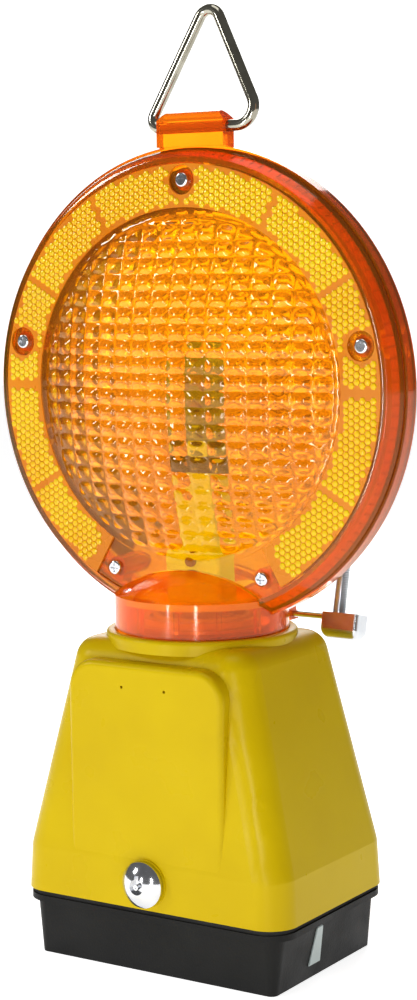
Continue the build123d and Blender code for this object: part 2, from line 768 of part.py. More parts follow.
led_radius = 4.0
with BuildPart() as leds:
    for side in (-1, 1):
        face = Plane(origin=(0, side * board_thickness / 2, head_centre), x_dir=(1, 0, 0), z_dir=(0, side, 0))
        with BuildSketch(face):
            Circle(led_radius + 0.8)
        extrude(amount=1.6)
        with BuildSketch(face.offset(1.6)):
            Circle(led_radius)
        extrude(amount=4.2)
        fillet(leds.faces().filter_by(Axis.Y).sort_by(Axis.Y, reverse=side > 0)[0].edges(), radius=3.6)
leds.part.label = "leds"
export_step(leds.part, "parts/leds.step")

with BuildPart() as led_clip:
    with BuildSketch(Plane.XY.offset(clip_bottom)):
        RectangleRounded(19, 13, 2)
        Rectangle(13.2, 8.6, mode=Mode.SUBTRACT)
    extrude(amount=clip_height)
led_clip.part.label = "led_clip"
export_step(led_clip.part, "parts/led_clip.step")

with BuildPart() as board_parts:
    front_of_board = Plane(origin=(0, -board_thickness / 2, head_centre), x_dir=(1, 0, 0), z_dir=(0, -1, 0))
    with BuildSketch(front_of_board):
        with Locations((-4.5, -16), (4.5, -16)):
            Rectangle(4, 2.4)
        with Locations((-4.5, -21), (4.5, -21)):
            Rectangle(3, 1.6)
    extrude(amount=1.2)
board_parts.part.label = "board_parts"
export_step(board_parts.part, "parts/board_parts.step")

with BuildPart() as light_sensor:
    with BuildSketch(Plane.XZ.offset(block_front)):
        with Locations((0, sensor_height)):
            Circle(sensor_radius)
    extrude(amount=sensor_thickness)
    fillet(light_sensor.faces().sort_by(Axis.Y)[0].edges(), radius=0.8)
light_sensor.part.label = "light_sensor"
export_step(light_sensor.part, "parts/light_sensor.step")

disc_bottom, disc_thickness, track_thickness = 141.8, 1.6, 0.5
disc_screw_y = 15.5
with BuildPart() as contact_disc:
    with BuildSketch(Plane.XY.offset(disc_bottom)):
        Circle(18)
        with Locations((0, disc_screw_y), (0, -disc_screw_y)):
            Circle(1.3, mode=Mode.SUBTRACT)
    extrude(amount=disc_thickness)
contact_disc.part.label = "contact_disc"
export_step(contact_disc.part, "parts/contact_disc.step")

with BuildPart() as contact_tracks:
    with BuildSketch(Plane.XY.offset(disc_bottom - track_thickness)):
        Circle(3)
        Circle(pin_spacing + 2)
        Circle(pin_spacing - 2, mode=Mode.SUBTRACT)
    extrude(amount=track_thickness)
contact_tracks.part.label = "contact_tracks"
export_step(contact_tracks.part, "parts/contact_tracks.step")

with BuildPart() as disc_screws:
    with BuildSketch(Plane.XY.offset(disc_bottom - 1.4)):
        with Locations((0, disc_screw_y), (0, -disc_screw_y)):
            Circle(2.2)
    extrude(amount=1.4)
    with BuildSketch(Plane.XY.offset(disc_bottom)):
        with Locations((0, disc_screw_y), (0, -disc_screw_y)):
            Circle(1.25)
    extrude(amount=post_base_bottom - disc_bottom)
disc_screws.part.label = "disc_screws"
export_step(disc_screws.part, "parts/disc_screws.step")

# ---- hanger -------------------------------------------------------------------------

hanger_plane = Plane(
    origin=(0, hanger_pivot_y, hanger_pivot_z),
    x_dir=(1, 0, 0),
    z_dir=(0, -cos(radians(hanger_lean)), sin(radians(hanger_lean))),
)
with BuildPart() as hanger:
    with BuildLine(hanger_plane) as hanger_path:
        FilletPolyline(*hanger_corners, radius=hanger_radii, close=True)
    with BuildSketch(Plane(origin=hanger_path.line @ 0, z_dir=hanger_path.line % 0)):
        Circle(wire_diameter / 2)
    sweep()
hanger.part.label = "hanger"
export_step(hanger.part, "parts/hanger.step")

# ---- rear clamp ---------------------------------------------------------------------

clamp_plane = Plane(
    origin=(0, axle_y, axle_z),
    x_dir=(1, 0, 0),
    z_dir=(0, sin(radians(stud_lean)), cos(radians(stud_lean))),
)
with BuildPart() as clamp_arm:
    with BuildSketch(clamp_plane.offset(-block_drop)):
        with Locations(((block_left + block_right) / 2, 0)):
            RectangleRounded(block_right - block_left, block_depth, 1.5)
    extrude(amount=block_drop + block_rise)
    fillet(clamp_arm.faces().sort_by(Axis.Z)[0].edges(), radius=4.0)
    with BuildSketch(Plane.YZ.offset(axle_left)):
        with Locations((axle_y, axle_z)):
            Circle(axle_radius)
    extrude(amount=block_left + 2 - axle_left)
    with BuildSketch(Plane.YZ.offset(axle_left + 1.2)):
        with Locations((axle_y, axle_z)):
            Circle(axle_radius + 1)
            Circle(axle_radius - 0.35, mode=Mode.SUBTRACT)
    extrude(amount=1.0, mode=Mode.SUBTRACT)
    with BuildSketch(clamp_plane.offset(stud_seat)):
        with Locations((stud_x, 0)):
            Circle(stud_core_radius)
    extrude(amount=20, mode=Mode.SUBTRACT)
clamp_arm.part.label = "clamp_arm"
export_step(clamp_arm.part, "parts/clamp_arm.step")

with BuildPart() as clamp_stud:
    with BuildSketch(clamp_plane.offset(stud_seat)):
        with Locations((stud_x, 0)):
            Circle(stud_core_radius)
    extrude(amount=stud_shoulder - stud_seat)
    with BuildSketch(clamp_plane.offset(stud_shoulder)):
        with Locations((stud_x, 0)):
            Circle(stud_radius)
    extrude(amount=stud_tip - stud_shoulder)
    chamfer(clamp_stud.faces().sort_by(Axis.Z)[-1].edges(), length=0.8)
clamp_stud.part.label = "clamp_stud"
export_step(clamp_stud.part, "parts/clamp_stud.step")

with BuildPart() as axle_clip:
    with BuildSketch(Plane.YZ.offset(axle_left + 1.3)):
        with Locations((axle_y, axle_z)):
            Circle(3.2)
            Circle(axle_radius - 0.35, mode=Mode.SUBTRACT)
        with Locations((axle_y + 2.5, axle_z)):
            Rectangle(5, 1.6, mode=Mode.SUBTRACT)
    extrude(amount=0.8)
axle_clip.part.label = "axle_clip"
export_step(axle_clip.part, "parts/axle_clip.step")
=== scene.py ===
"""Looks of the barricade warning light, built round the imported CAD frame. Metres, +Z up, front -Y."""
import json
from math import atan2, cos, floor, hypot, pi, radians, sin, sqrt

import bmesh
import bpy
from mathutils import Matrix, Vector


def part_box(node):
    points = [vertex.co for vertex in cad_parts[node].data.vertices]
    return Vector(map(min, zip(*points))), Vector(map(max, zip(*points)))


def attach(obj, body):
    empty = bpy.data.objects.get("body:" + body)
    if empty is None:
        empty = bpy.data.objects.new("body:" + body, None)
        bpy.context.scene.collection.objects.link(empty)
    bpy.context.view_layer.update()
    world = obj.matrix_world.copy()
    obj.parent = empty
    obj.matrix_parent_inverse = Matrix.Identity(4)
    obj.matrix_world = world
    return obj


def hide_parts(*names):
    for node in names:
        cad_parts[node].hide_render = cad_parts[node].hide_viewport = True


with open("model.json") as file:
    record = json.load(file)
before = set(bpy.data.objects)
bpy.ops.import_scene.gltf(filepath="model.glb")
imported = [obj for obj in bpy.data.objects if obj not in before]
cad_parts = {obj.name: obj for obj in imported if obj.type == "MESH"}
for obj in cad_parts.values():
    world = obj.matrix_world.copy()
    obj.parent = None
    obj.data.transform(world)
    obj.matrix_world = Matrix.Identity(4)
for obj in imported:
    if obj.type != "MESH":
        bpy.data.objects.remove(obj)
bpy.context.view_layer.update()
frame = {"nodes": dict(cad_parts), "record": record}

MM = 0.001
nodes = frame["nodes"]

# ---- places read from the frame -----------------------------------------------------

# Depths of the head are distances from its middle plane, forwards in front and backwards behind.
lens_low, lens_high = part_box("front_lens")
ring_low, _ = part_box("front_bead_ring")
RIM_RADIUS = (lens_high.x - lens_low.x) / 2
HEAD_Z = lens_high.z - RIM_RADIUS
RIM_BACK = -lens_high.y
DOME_TOP = -lens_low.y
BEAD_FACE = -ring_low.y

# ---- sizes of the lens disc, as in the CAD ------------------------------------------

PLATE_FRONT = 10.9 * MM
PLATE_THICKNESS = 2.4 * MM
PLATE_RADIUS = 90.4 * MM
DOME_RADIUS = 68.0 * MM
DOME_INNER_RADIUS = DOME_RADIUS - 1.0 * MM
BEAD_INNER, BEAD_OUTER = 70.5 * MM, 87.6 * MM
BEAD_SEAT = PLATE_FRONT - 0.7 * MM
SCREW_CIRCLE = 81.2 * MM
SCREW_ANGLES = (90.0, 167.5, 12.5, 244.65, 295.35)
SCREW_HEAD_RADIUS, SCREW_HOLE_RADIUS = 4.0 * MM, 1.8 * MM
SCREW_SEAT = PLATE_FRONT - 0.9 * MM
NECK_RADIUS, COLLAR_TOP, SHOULDER_RISE = 35.0 * MM, 147.0 * MM, 10.3 * MM


# ---- materials ----------------------------------------------------------------------


def new_material(name, color, roughness, **sockets):
    """Principled material; sockets are Principled inputs with underscores for spaces."""
    material = bpy.data.materials.new(name)
    material.use_nodes = True
    shader = material.node_tree.nodes["Principled BSDF"]
    shader.inputs["Base Color"].default_value = (*color, 1.0)
    shader.inputs["Roughness"].default_value = roughness
    for socket, value in sockets.items():
        shader.inputs[socket.replace("_", " ")].default_value = value
    return material


def object_coordinates(material):
    """Coordinates that stay with the piece."""
    return material.node_tree.nodes.new("ShaderNodeTexCoord").outputs["Object"]


def noise(material, scale, detail=3.0, stretch=None):
    """Noise in object space; stretch scales the coordinates along each axis first."""
    tree = material.node_tree
    texture = tree.nodes.new("ShaderNodeTexNoise")
    texture.inputs["Scale"].default_value = scale
    texture.inputs["Detail"].default_value = detail
    source = object_coordinates(material)
    if stretch:
        mapping = tree.nodes.new("ShaderNodeMapping")
        mapping.inputs["Scale"].default_value = stretch
        tree.links.new(source, mapping.inputs["Vector"])
        source = mapping.outputs["Vector"]
    tree.links.new(source, texture.inputs["Vector"])
    return texture.outputs["Fac"]


def ramp(material, source, low, high, low_color, high_color):
    """Colour that runs from low_color to high_color as the source goes from low to high."""
    tree = material.node_tree
    node = tree.nodes.new("ShaderNodeValToRGB")
    node.color_ramp.elements[0].position = low
    node.color_ramp.elements[1].position = high
    node.color_ramp.elements[0].color = (*low_color, 1.0)
    node.color_ramp.elements[1].color = (*high_color, 1.0)
    tree.links.new(source, node.inputs["Fac"])
    return node.outputs["Color"]


def spread(material, source, low, high):
    """Maps the usual 0.3..0.7 of a noise to the range low..high."""
    tree = material.node_tree
    node = tree.nodes.new("ShaderNodeMapRange")
    node.inputs["From Min"].default_value = 0.3
    node.inputs["From Max"].default_value = 0.7
    node.inputs["To Min"].default_value = low
    node.inputs["To Max"].default_value = high
    tree.links.new(source, node.inputs["Value"])
    return node.outputs["Result"]


def feed(material, source, socket):
    """Links a source to a socket of the material's shader."""
    shader = material.node_tree.nodes["Principled BSDF"]
    material.node_tree.links.new(source, shader.inputs[socket])


def bump(material, heights, distance):
    """Adds bump from one or more (source, strength) pairs, the last one on top."""
    tree = material.node_tree
    normal = None
    for source, strength in heights:
        node = tree.nodes.new("ShaderNodeBump")
        node.inputs["Strength"].default_value = strength
        node.inputs["Distance"].default_value = distance
        tree.links.new(source, node.inputs["Height"])
        if normal:
            tree.links.new(normal, node.inputs["Normal"])
        normal = node.outputs["Normal"]
    feed(material, normal, "Normal")


def moulded_plastic(name, color, other, roughness, grain=900.0, grain_strength=0.12, **sockets):
    """Injection-moulded plastic: soft colour drift, fine grain and faint flow waves."""
    material = new_material(name, color, roughness, **sockets)
    drift = noise(material, 22.0)
    feed(material, ramp(material, drift, 0.35, 0.65, color, other), "Base Color")
    feed(material, spread(material, noise(material, 60.0), roughness * 0.85, roughness * 1.2), "Roughness")
    waves = noise(material, 35.0, 1.0)
    bump(material, [(waves, 0.06), (noise(material, grain), grain_strength)], 0.0004)
    return material


def clear_plastic(name, color, other, roughness, transmission):
    """Tinted clear plastic with faint flow marks."""
    material = new_material(name, color, roughness, Transmission_Weight=transmission, IOR=1.5)
    feed(material, ramp(material, noise(material, 26.0), 0.35, 0.65, color, other), "Base Color")
    feed(material, spread(material, noise(material, 90.0), roughness, roughness * 2.2), "Roughness")
    bump(material, [(noise(material, 45.0, 1.0), 0.10), (noise(material, 400.0), 0.03)], 0.0005)
    return material


def plated_metal(name, color, other, roughness, stretch=(1.0, 1.0, 1.0), scratches=0.06):
    """Plated metal: blotchy tone, uneven gloss and fine scratches; stretch turns them into streaks."""
    material = new_material(name, color, roughness, Metallic=1.0)
    feed(material, ramp(material, noise(material, 140.0), 0.4, 0.65, color, other), "Base Color")
    streaks = noise(material, 700.0, 4.0, stretch)
    feed(material, spread(material, streaks, roughness * 0.9, roughness * 1.15), "Roughness")
    if scratches:
        bump(material, [(streaks, scratches)], 0.0001)
    return material


def foam(name, color, other):
    """Open-cell foam: small round pits, darker at their middles as painted shade."""
    material = new_material(name, color, 0.95)
    cells = material.node_tree.nodes.new("ShaderNodeTexVoronoi")
    cells.inputs["Scale"].default_value = 900.0
    material.node_tree.links.new(object_coordinates(material), cells.inputs["Vector"])
    feed(material, ramp(material, cells.outputs["Distance"], 0.1, 0.7, color, other), "Base Color")
    bump(material, [(cells.outputs["Distance"], 0.6)], 0.0004)
    return material


def circuit_board(name):
    """Green solder mask over a pale grid of copper runs."""
    material = new_material(name, (0.02, 0.16, 0.06), 0.3)
    tree = material.node_tree
    bricks = tree.nodes.new("ShaderNodeTexBrick")
    bricks.inputs["Scale"].default_value = 220.0
    bricks.inputs["Color1"].default_value = (0.16, 0.30, 0.06, 1.0)
    bricks.inputs["Color2"].default_value = (0.20, 0.34, 0.08, 1.0)
    bricks.inputs["Mortar"].default_value = (0.34, 0.46, 0.16, 1.0)
    tree.links.new(object_coordinates(material), bricks.inputs["Vector"])
    feed(material, bricks.outputs["Color"], "Base Color")
    bump(material, [(bricks.outputs["Fac"], 0.3)], 0.0001)
    return material


MATERIALS = {
    "yellow_plastic": moulded_plastic(
        "yellow_housing", (0.68, 0.50, 0.001), (0.64, 0.46, 0.001), 0.30, 1100.0, 0.10,
        Specular_IOR_Level=0.2,
    ),
    "black_plastic": moulded_plastic(
        "black_tray", (0.006, 0.006, 0.006), (0.011, 0.011, 0.010), 0.45, 1300.0, 0.25,
        Specular_IOR_Level=0.3,
    ),
    "grey_plastic": moulded_plastic("grey_catch", (0.56, 0.62, 0.61), (0.48, 0.55, 0.54), 0.35),
    "rubber_seal": moulded_plastic(
        "black_rubber", (0.012, 0.012, 0.012), (0.02, 0.02, 0.02), 0.7, 1500.0, 0.3
    ),
    "foam": foam("grey_foam", (0.05, 0.05, 0.055), (0.16, 0.16, 0.17)),
    "bright_steel": plated_metal("bright_plate", (0.82, 0.83, 0.85), (0.72, 0.73, 0.76), 0.12),
    "hanger_steel": plated_metal(
        "nickel_wire", (0.50, 0.48, 0.40), (0.40, 0.38, 0.31), 0.12, (1.0, 1.0, 0.2), 0.03
    ),
    "zinc_steel": plated_metal("zinc_plate", (0.72, 0.74, 0.76), (0.66, 0.68, 0.70), 0.2, scratches=0.0),
    "battery_jacket": moulded_plastic("battery_jacket", (0.02, 0.05, 0.22), (0.03, 0.07, 0.26), 0.3),
    "battery_top": moulded_plastic("battery_top", (0.02, 0.02, 0.02), (0.03, 0.03, 0.03), 0.5),
    "spring_steel": plated_metal(
        "spring_plate", (0.62, 0.61, 0.58), (0.5, 0.5, 0.47), 0.25, (0.2, 0.2, 1.0)
    ),
    "white_plastic": moulded_plastic("white_plastic", (0.85, 0.80, 0.55), (0.80, 0.74, 0.48), 0.4),
    "switch_plastic": moulded_plastic(
        "switch_plastic", (0.015, 0.015, 0.015), (0.025, 0.025, 0.025), 0.4
    ),
    "contact_brass": plated_metal(
        "contact_brass", (0.78, 0.56, 0.22), (0.68, 0.46, 0.16), 0.25, (0.1, 1.0, 1.0)
    ),
    "strip_screw_steel": plated_metal("screw_plate", (0.6, 0.6, 0.6), (0.48, 0.48, 0.47), 0.28),
    "circuit_board": circuit_board("circuit_board"),
    "board_components": moulded_plastic("component_plastic", (0.02, 0.02, 0.02), (0.04, 0.04, 0.04), 0.35),
    "led_lens": clear_plastic("led_lens", (0.95, 0.85, 0.55), (0.95, 0.8, 0.45), 0.05, 0.7),
    "sensor": clear_plastic("sensor_lens", (0.4, 0.15, 0.08), (0.3, 0.1, 0.05), 0.05, 0.5),
    "amber_body": clear_plastic("amber_body", (0.95, 0.27, 0.006), (0.90, 0.21, 0.004), 0.05, 0.70),
    "amber_lens": clear_plastic("amber_lens", (0.82, 0.45, 0.005), (0.76, 0.38, 0.004), 0.05, 0.88),
    # The bead ring's base is darker orange: painted shade in the gaps between the beads.
    "amber_beads": clear_plastic("amber_bead_painted_shade_base", (0.86, 0.30, 0.002), (0.76, 0.24, 0.002), 0.2, 0.1),
}

# The beads are yellower than the amber plastic: a painted highlight standing in for the light the
# reflector sends back.
GLINT_BEAD_MATERIAL = clear_plastic("amber_bead", (1.0, 0.72, 0.004), (1.0, 0.60, 0.003), 0.12, 0.15)
# The post is pale lime, which the amber lens turns bright yellow; its emission is a painted glow, as the
# post is no lamp.
GLOWING_POST_MATERIAL = moulded_plastic(
    "post_painted_glow", (0.66, 0.95, 0.12), (0.60, 0.88, 0.10), 0.25,
    Emission_Color=(0.62, 0.95, 0.1, 1.0), Emission_Strength=0.35,
)

for entry in frame["record"]["subparts"]:
    slots = nodes[entry["node"]].data.materials
    slots.clear()
    slots.append(MATERIALS[entry["material_slot"]])
nodes["lamp_post"].data.materials[0] = GLOWING_POST_MATERIAL
# Clear plastic casts a solid shadow in this renderer, so the drum lets the light in without one.
nodes["head_body"].visible_shadow = False


# ---- mesh helpers -------------------------------------------------------------------


def mesh_piece(name, body, slot, vertices, faces, sharp_angle=35.0):
    """New object from points and faces, smooth except at sharp edges, riding on a CAD body."""
    mesh = bpy.data.meshes.new(name)
    mesh.from_pydata(vertices, [], faces)
    mesh.validate()
    piece = bpy.data.objects.new(name, mesh)
    bpy.context.scene.collection.objects.link(piece)
    finish_mesh(piece, sharp_angle)
    mesh.materials.append(MATERIALS[slot])
    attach(piece, body)
    return piece


def finish_mesh(piece, sharp_angle=35.0):
    """Joined vertices, outward normals, smooth faces and sharp creases."""
    work = bmesh.new()
    work.from_mesh(piece.data)
    bmesh.ops.remove_doubles(work, verts=work.verts, dist=MM / 1000)
    bmesh.ops.recalc_face_normals(work, faces=work.faces)
    work.to_mesh(piece.data)
    work.free()
    piece.data.shade_smooth()
    piece.data.set_sharp_from_angle(angle=radians(sharp_angle))


def lathe(profile, segments, place):
    """Turns a profile of (radius, depth) that starts and ends on the axis.

    place(radius, depth, angle) gives a vertex. Returns vertices and faces.
    """
    vertices = [place(0.0, profile[0][1], 0.0)]
    for radius, depth in profile[1:-1]:
        vertices += [place(radius, depth, 2 * pi * i / segments) for i in range(segments)]
    vertices.append(place(0.0, profile[-1][1], 0.0))
    last = len(vertices) - 1
    starts = range(1, last, segments)
    faces = []
    for i in range(segments):
        j = (i + 1) % segments
        faces.append((0, starts[0] + i, starts[0] + j))
        faces += [(a + i, b + i, b + j, a + j) for a, b in zip(starts, starts[1:])]
        faces.append((starts[-1] + i, last, starts[-1] + j))
    return vertices, faces


def cap_rise(radius, foot_radius, rise):
    """Height of a spherical cap above its foot at a radius."""
    sphere = (foot_radius**2 + rise**2) / (2 * rise)
    return sqrt(sphere**2 - radius**2) - (sphere - rise)


def cutter(name, vertices, faces):
    """Object that only serves to cut another, and is removed by cut()."""
    mesh = bpy.data.meshes.new(name)
    mesh.from_pydata(vertices, [], faces)
    piece = bpy.data.objects.new(name, mesh)
    bpy.context.scene.collection.objects.link(piece)
    finish_mesh(piece)
    return piece


def cut(piece, tool):
    """Subtracts tool from piece for good."""
    modifier = piece.modifiers.new("cut", "BOOLEAN")
    modifier.operation = "DIFFERENCE"
    modifier.solver = "EXACT"
    modifier.object = tool
    evaluated = piece.evaluated_get(bpy.context.evaluated_depsgraph_get())
    mesh = bpy.data.meshes.new_from_object(evaluated)
    piece.modifiers.clear()
    piece.data = mesh
    bpy.data.objects.remove(tool)
    finish_mesh(piece)


# ---- lens discs ---------------------------------------------------------------------

PILLOW_WIDTH, PILLOW_HEIGHT, PILLOW_RISE = 8.6 * MM, 6.4 * MM, 1.3 * MM
PILLOW_FADE = 3.0 * MM
DOME_BULGE = DOME_TOP - PLATE_FRONT - PILLOW_RISE
PLATE_BACK = PLATE_FRONT - PLATE_THICKNESS


def pillow(x, z):
    """Height of the pillow pattern at a point of the dome, measured from the head's centre."""
    u = 2 * (x / PILLOW_WIDTH - floor(x / PILLOW_WIDTH)) - 1
    v = 2 * (z / PILLOW_HEIGHT - floor(z / PILLOW_HEIGHT)) - 1
    return PILLOW_RISE * (1 - u * u) * (1 - v * v)


def dome_inside(radius):
    """Depth of the dome's inner face at a radius."""
    return PLATE_BACK + cap_rise(min(radius, DOME_INNER_RADIUS), DOME_INNER_RADIUS, DOME_BULGE)


def lens_profile():
    """Outline of a lens disc from the dome's top outwards and back along its inside."""
    rounding, edge_drop = 0.3 * MM, 0.5 * MM
    outer_rings, inner_rings = 110, 24
    radii = [DOME_RADIUS * i / outer_rings for i in range(outer_rings + 1)]
    profile = [(radius, PLATE_FRONT + cap_rise(radius, DOME_RADIUS, DOME_BULGE)) for radius in radii]
    profile += [
        (BEAD_INNER, PLATE_FRONT),
        (BEAD_INNER, BEAD_SEAT),
        (BEAD_OUTER, BEAD_SEAT),
        (BEAD_OUTER, PLATE_FRONT),
        (PLATE_RADIUS - edge_drop, PLATE_FRONT),
        (PLATE_RADIUS, PLATE_FRONT - rounding),
        (RIM_RADIUS, RIM_BACK + rounding),
        (RIM_RADIUS - rounding, RIM_BACK),
        (RIM_RADIUS - PLATE_THICKNESS, RIM_BACK),
        (PLATE_RADIUS - PLATE_THICKNESS, PLATE_BACK),
    ]
    radii = [DOME_INNER_RADIUS * i / inner_rings for i in range(inner_rings, -1, -1)]
    return profile + [(radius, dome_inside(radius)) for radius in radii]


def lens_disc(side_name, side):
    """Lens disc with a pillowed dome and a body-coloured rim; side is 1 in front and -1 behind."""
    segments = 400
    rim_start = PLATE_RADIUS - 1.2 * MM
    outside = 1.0 * MM

    def place(radius, depth, angle):
        x, z = radius * cos(angle), radius * sin(angle)
        if depth > max(PLATE_FRONT, dome_inside(radius) + outside):
            depth += pillow(x, z) * min(1.0, (DOME_RADIUS - radius) / PILLOW_FADE)
        return (x, -side * depth, HEAD_Z + z)

    vertices, faces = lathe(lens_profile(), segments, place)
    lens = mesh_piece(f"{side_name}_lens_disc", "head", "amber_lens", vertices, faces)
    lens.data.materials.append(MATERIALS["amber_body"])
    for face in lens.data.polygons:
        if hypot(face.center.x, face.center.z - HEAD_Z) > rim_start:
            face.material_index = 1
    cut(lens, lens_cutter(side))
    lens.visible_shadow = False
    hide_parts(f"{side_name}_lens")


def screw_place(angle):
    """Where a lens screw stands, measured from the head's centre."""
    return SCREW_CIRCLE * cos(radians(angle)), SCREW_CIRCLE * sin(radians(angle))


def lens_cutter(side):
    """Tool that makes room for the neck's shoulder and for the screws."""
    clearance, reach, steps = 0.3 * MM, 40 * MM, 24
    radius, rise = NECK_RADIUS + clearance, SHOULDER_RISE + clearance
    profile = [(0.0, COLLAR_TOP + rise)]
    for i in range(1, steps + 1):
        step_radius = radius * i / steps
        profile.append((step_radius, COLLAR_TOP + cap_rise(step_radius, radius, rise)))
    profile += [(radius, COLLAR_TOP - reach), (0.0, COLLAR_TOP - reach)]
    vertices, faces = lathe(profile, 96, lambda r, z, a: (r * cos(a), r * sin(a), z))

    above, below = PLATE_FRONT + 1 * MM, SCREW_SEAT - 4 * MM
    outline = [(0.0, above), (SCREW_HEAD_RADIUS, above), (SCREW_HEAD_RADIUS, SCREW_SEAT)]
    outline += [(SCREW_HOLE_RADIUS, SCREW_SEAT), (SCREW_HOLE_RADIUS, below), (0.0, below)]
    for angle in SCREW_ANGLES:
        x, z = screw_place(angle)
        extra, extra_faces = lathe(
            outline, 32, lambda r, d, a: (x + r * cos(a), -side * d, HEAD_Z + z + r * sin(a))
        )
        start = len(vertices)
        vertices += extra
        faces += [tuple(start + index for index in face) for face in extra_faces]
    return cutter("lens_cutter", vertices, faces)


# ---- bead rings ---------------------------------------------------------------------

BEAD_PITCH_X, BEAD_PITCH_Z = 2.35 * MM, 2.75 * MM
BEAD_REACH_X, BEAD_REACH_Z = BEAD_PITCH_X / 1.5, BEAD_PITCH_Z / sqrt(3)
BEAD_HEIGHT = 0.55 * MM
BEAD_SIDES = 6
# How wide the bead is at each share of its height, from its foot to the edge of its top.
BEAD_LEVELS = ((0.92, 0.0), (0.80, 0.55), (0.42, 0.92))
BEAD_EDGES = 1.4 * MM, 1.3 * MM
SECTORS = 12
DIVIDER_HALF_WIDTH = 1.5 * MM
SCREW_CLEARING = 7.2 * MM
NECK_GAP = radians(33.5)


def bead_allowed(x, z):
    """Whether a bead fits at this point of the ring, measured from the head's centre."""
    radius = hypot(x, z)
    if not BEAD_INNER + BEAD_EDGES[0] < radius < BEAD_OUTER - BEAD_EDGES[1]:
        return False
    angle = atan2(z, x)
    step = 2 * pi / SECTORS
    from_divider = abs((angle + step / 2) % step - step / 2) * radius
    if from_divider < DIVIDER_HALF_WIDTH:
        return False
    if abs(atan2(x, -z)) < NECK_GAP:
        return False
    return all(
        hypot(x - screw_x, z - screw_z) >= SCREW_CLEARING
        for screw_x, screw_z in map(screw_place, SCREW_ANGLES)
    )


def bead(x, z, side, start):
    """Vertices and faces of one six-sided bead; start is the number of vertices before it."""
    vertices = []
    for width, height in BEAD_LEVELS:
        depth = BEAD_FACE + height * BEAD_HEIGHT
        for corner in range(BEAD_SIDES):
            angle = 2 * pi * corner / BEAD_SIDES
            across, up = width * BEAD_REACH_X * cos(angle), width * BEAD_REACH_Z * sin(angle)
            vertices.append((x + across, -side * depth, HEAD_Z + z + up))
    top = start + len(vertices)
    vertices.append((x, -side * (BEAD_FACE + BEAD_HEIGHT), HEAD_Z + z))
    faces = []
    for corner in range(BEAD_SIDES):
        after = (corner + 1) % BEAD_SIDES
        for low in range(start, top - BEAD_SIDES, BEAD_SIDES):
            high = low + BEAD_SIDES
            faces.append((low + corner, low + after, high + after, high + corner))
        faces.append((top - BEAD_SIDES + corner, top - BEAD_SIDES + after, top))
    faces.append(tuple(range(start, start + BEAD_SIDES)))
    return vertices, faces


def bead_field(side_name, side):
    """Staggered columns of beads standing on the bead ring."""
    vertices, faces = [], []
    columns = int(BEAD_OUTER / BEAD_PITCH_X) + 1
    rows = int(BEAD_OUTER / BEAD_PITCH_Z) + 1
    for column in range(-columns, columns + 1):
        for row in range(-rows, rows + 1):
            x = column * BEAD_PITCH_X
            z = (row + 0.5 * (column % 2)) * BEAD_PITCH_Z
            if bead_allowed(x, z):
                bead_vertices, bead_faces = bead(x, z, side, len(vertices))
                vertices += bead_vertices
                faces += bead_faces
    beads = mesh_piece(f"{side_name}_beads", "head", "amber_beads", vertices, faces, 25.0)
    beads.data.materials[0] = GLINT_BEAD_MATERIAL


# ---- rim serrations -----------------------------------------------------------------

RIB_COUNT = 132
RIB_RISE = 0.55 * MM
RIB_FOOT_HALF, RIB_CREST_HALF = 0.448 * MM, 0.168 * MM
RIB_ENDS = ((PLATE_FRONT - 2.6 * MM, 91.0 * MM), (PLATE_FRONT - 5.4 * MM, 92.4 * MM))
RIB_GAP = radians(26.0)


def rim_ribs(side_name, side):
    """Short ribs round the tapered rim of a lens disc, left out at the neck."""
    vertices, faces = [], []
    quads = ((0, 1, 3, 2), (4, 6, 7, 5), (2, 3, 7, 6), (0, 2, 6, 4), (1, 5, 7, 3), (0, 4, 5, 1))
    for index in range(RIB_COUNT):
        angle = 2 * pi * index / RIB_COUNT
        if abs(atan2(cos(angle), -sin(angle))) < RIB_GAP:
            continue
        start = len(vertices)
        for depth, radius in RIB_ENDS:
            for rise, half_width in ((0.0, RIB_FOOT_HALF), (RIB_RISE, RIB_CREST_HALF)):
                for sign in (-1, 1):
                    turn = angle + sign * half_width / radius
                    reach = radius + rise
                    vertices.append((reach * cos(turn), -side * depth, HEAD_Z + reach * sin(turn)))
        faces += [tuple(start + corner for corner in quad) for quad in quads]
    mesh_piece(f"{side_name}_rim_ribs", "head", "amber_body", vertices, faces)


for side_name, side in (("front", 1), ("rear", -1)):
    lens_disc(side_name, side)
    bead_field(side_name, side)
    rim_ribs(side_name, side)


# ---- threaded stud ------------------------------------------------------------------

STUD_LEAN = radians(13.0)
STUD_LENGTH = 58.0 * MM
STUD_SEATED, STUD_CORE_RADIUS = 8.4 * MM, 2.55 * MM
THREAD_PITCH, THREAD_DEPTH, THREAD_END_BEVEL = 1.0 * MM, 0.55 * MM, 0.5 * MM
THREAD_STEPS_PER_TURN = 6


